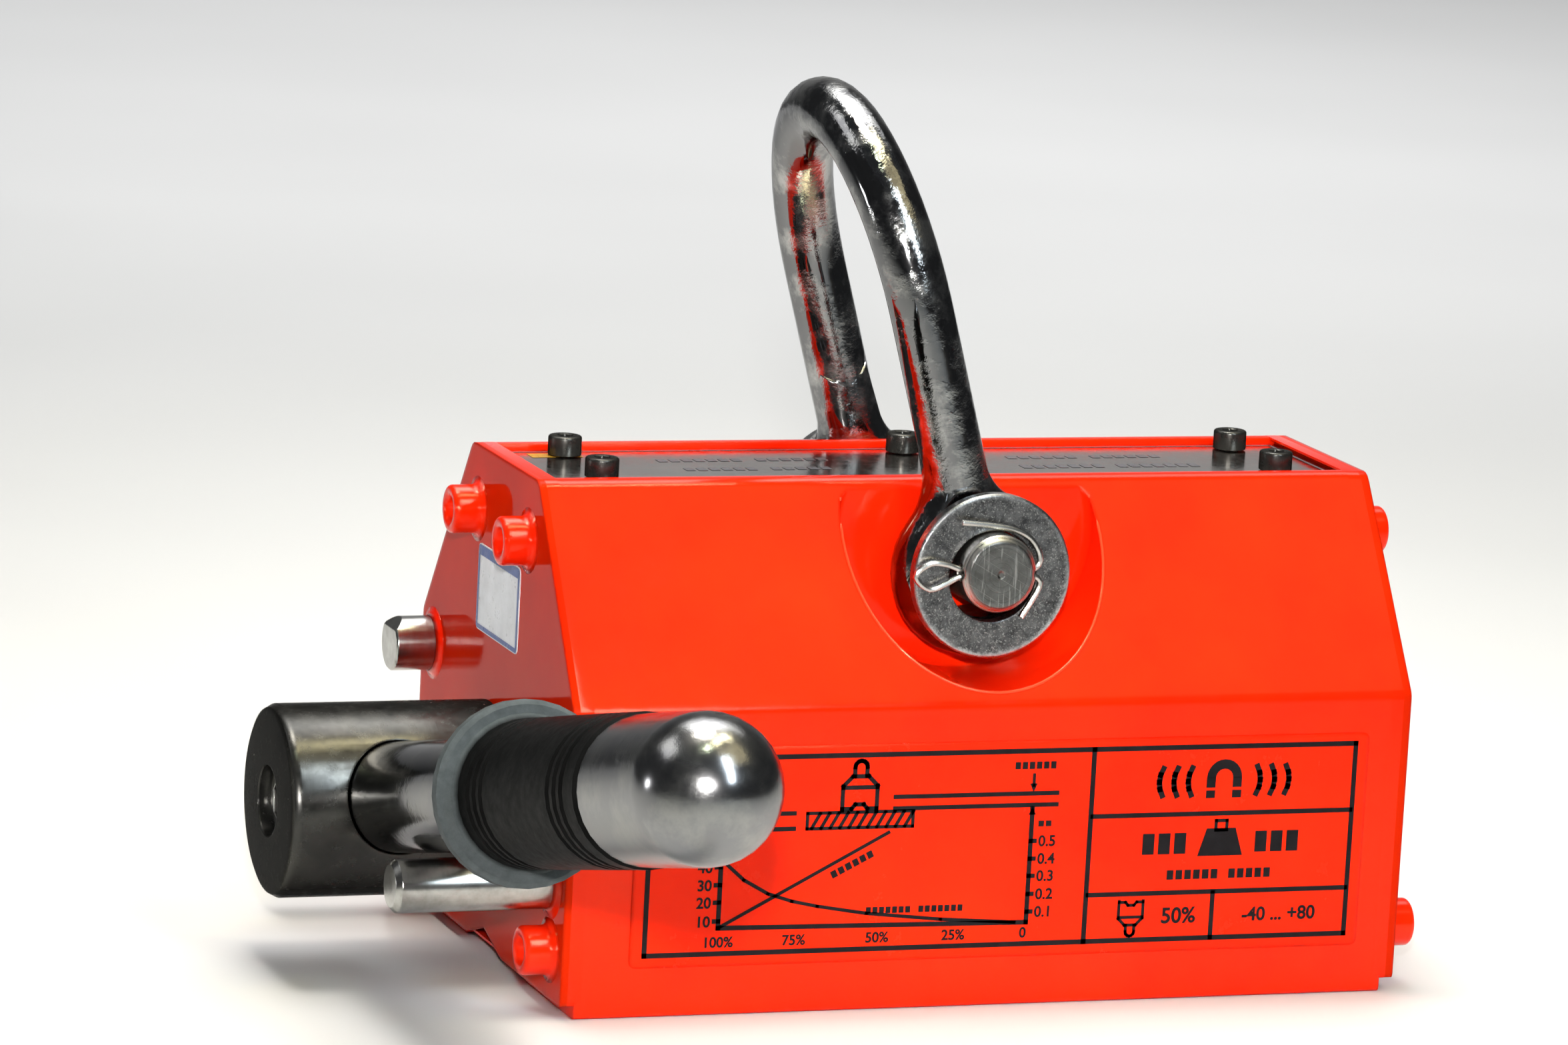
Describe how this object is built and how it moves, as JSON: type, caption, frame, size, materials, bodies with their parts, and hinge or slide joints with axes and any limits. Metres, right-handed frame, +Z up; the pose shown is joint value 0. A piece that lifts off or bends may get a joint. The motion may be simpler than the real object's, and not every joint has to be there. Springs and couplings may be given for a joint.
{
  "type": "permanent lifting magnet",
  "caption": "Permanent lifting magnet with two pole faces, a lever that turns its rotor over, a swinging lifting shackle and round-stock groove.",
  "frame": {"origin": "bottom centre of the whole part's bounding box, at rest on its pole faces with the lever about a degree above its front stop pin", "axes": "+Z up from the pole faces, +X along the body away from the lever hub, the lever points towards -Y at rest"},
  "size_m": [0.2356, 0.2686, 0.1836],
  "materials": {
    "red_paint": "glossy orange-red enamel, brushed or dipped over screws and plates",
    "black_oxide": "oiled black oxide",
    "brass": "machined",
    "magnet_nickel": "nickel plated magnet block",
    "cover_plate": "smooth rolled plate, glossy",
    "bright_steel": "turned, bright",
    "rotor_steel": "machined",
    "hub_oxide": "dark oxide, polished, light wear",
    "chrome": "bright plated over forging, fine scratches",
    "zinc": "bright zinc, mottled",
    "grip_rubber": "black moulded grip with a soft sheen",
    "label_film": "clear film with black lines over the red paint",
    "label_paper": "white sticker with a blue border"
  },
  "bodies": {
    "body": {"bearing_disc_left": "brass", "bearing_disc_right": "brass", "core_block": "brass", "cotter_pin_front": "chrome", "cotter_pin_rear": "chrome", "cover_screw_left_front": "black_oxide", "cover_screw_left_rear": "black_oxide", "cover_screw_middle_front": "black_oxide", "cover_screw_middle_rear": "black_oxide", "cover_screw_right_front": "black_oxide", "cover_screw_right_rear": "black_oxide", "end_label": "label_paper", "end_plate_left": "red_paint", "end_plate_right": "red_paint", "end_screw_left_front_lower": "red_paint", "end_screw_left_front_upper": "red_paint", "end_screw_left_rear_lower": "red_paint", "end_screw_left_rear_upper": "red_paint", "end_screw_right_front_lower": "red_paint", "end_screw_right_front_upper": "red_paint", "end_screw_right_rear_lower": "red_paint", "end_screw_right_rear_upper": "red_paint", "fixed_magnet_left": "magnet_nickel", "fixed_magnet_right": "magnet_nickel", "front_label": "label_film", "front_pole": "red_paint", "latch_spring": "bright_steel", "pole_spacer": "brass", "rear_pole": "red_paint", "shackle_pin": "bright_steel", "stop_pin_front": "bright_steel", "stop_pin_rear": "bright_steel", "top_cover": "cover_plate", "washer_front": "zinc", "washer_rear": "zinc"},
    "rotor": {"lever_grip": "grip_rubber", "lever_grub_screw": "bright_steel", "lever_hub": "hub_oxide", "lever_nose": "chrome", "lever_rod": "chrome", "rotor_cap_left": "rotor_steel", "rotor_cap_right": "rotor_steel", "rotor_magnet": "magnet_nickel", "rotor_shoe_far": "rotor_steel", "rotor_shoe_near": "rotor_steel"},
    "shackle": {"shackle": "chrome"},
    "latch": {"latch_pin": "bright_steel"}
  },
  "joints": [
    {"name": "lever_turn", "type": "hinge", "parent": "body", "child": "rotor", "pos_m": [-0.09495, 0.08206, 0.0344], "axis": [-1, 0, 0], "range_deg": [-1.1, 154.2]},
    {"name": "shackle_swing", "type": "hinge", "parent": "body", "child": "shackle", "pos_m": [0.02055, 0.08206, 0.0888], "axis": [0, 1, 0], "range_deg": [-47.5, 79]},
    {"name": "latch_press", "type": "slide", "parent": "body", "child": "latch", "axis": [1, 0, 0], "range_m": [0, 0.006], "stiffness_N_per_m": 600, "springref_m": -0.008, "deforming": ["latch_spring"]}
  ]
}
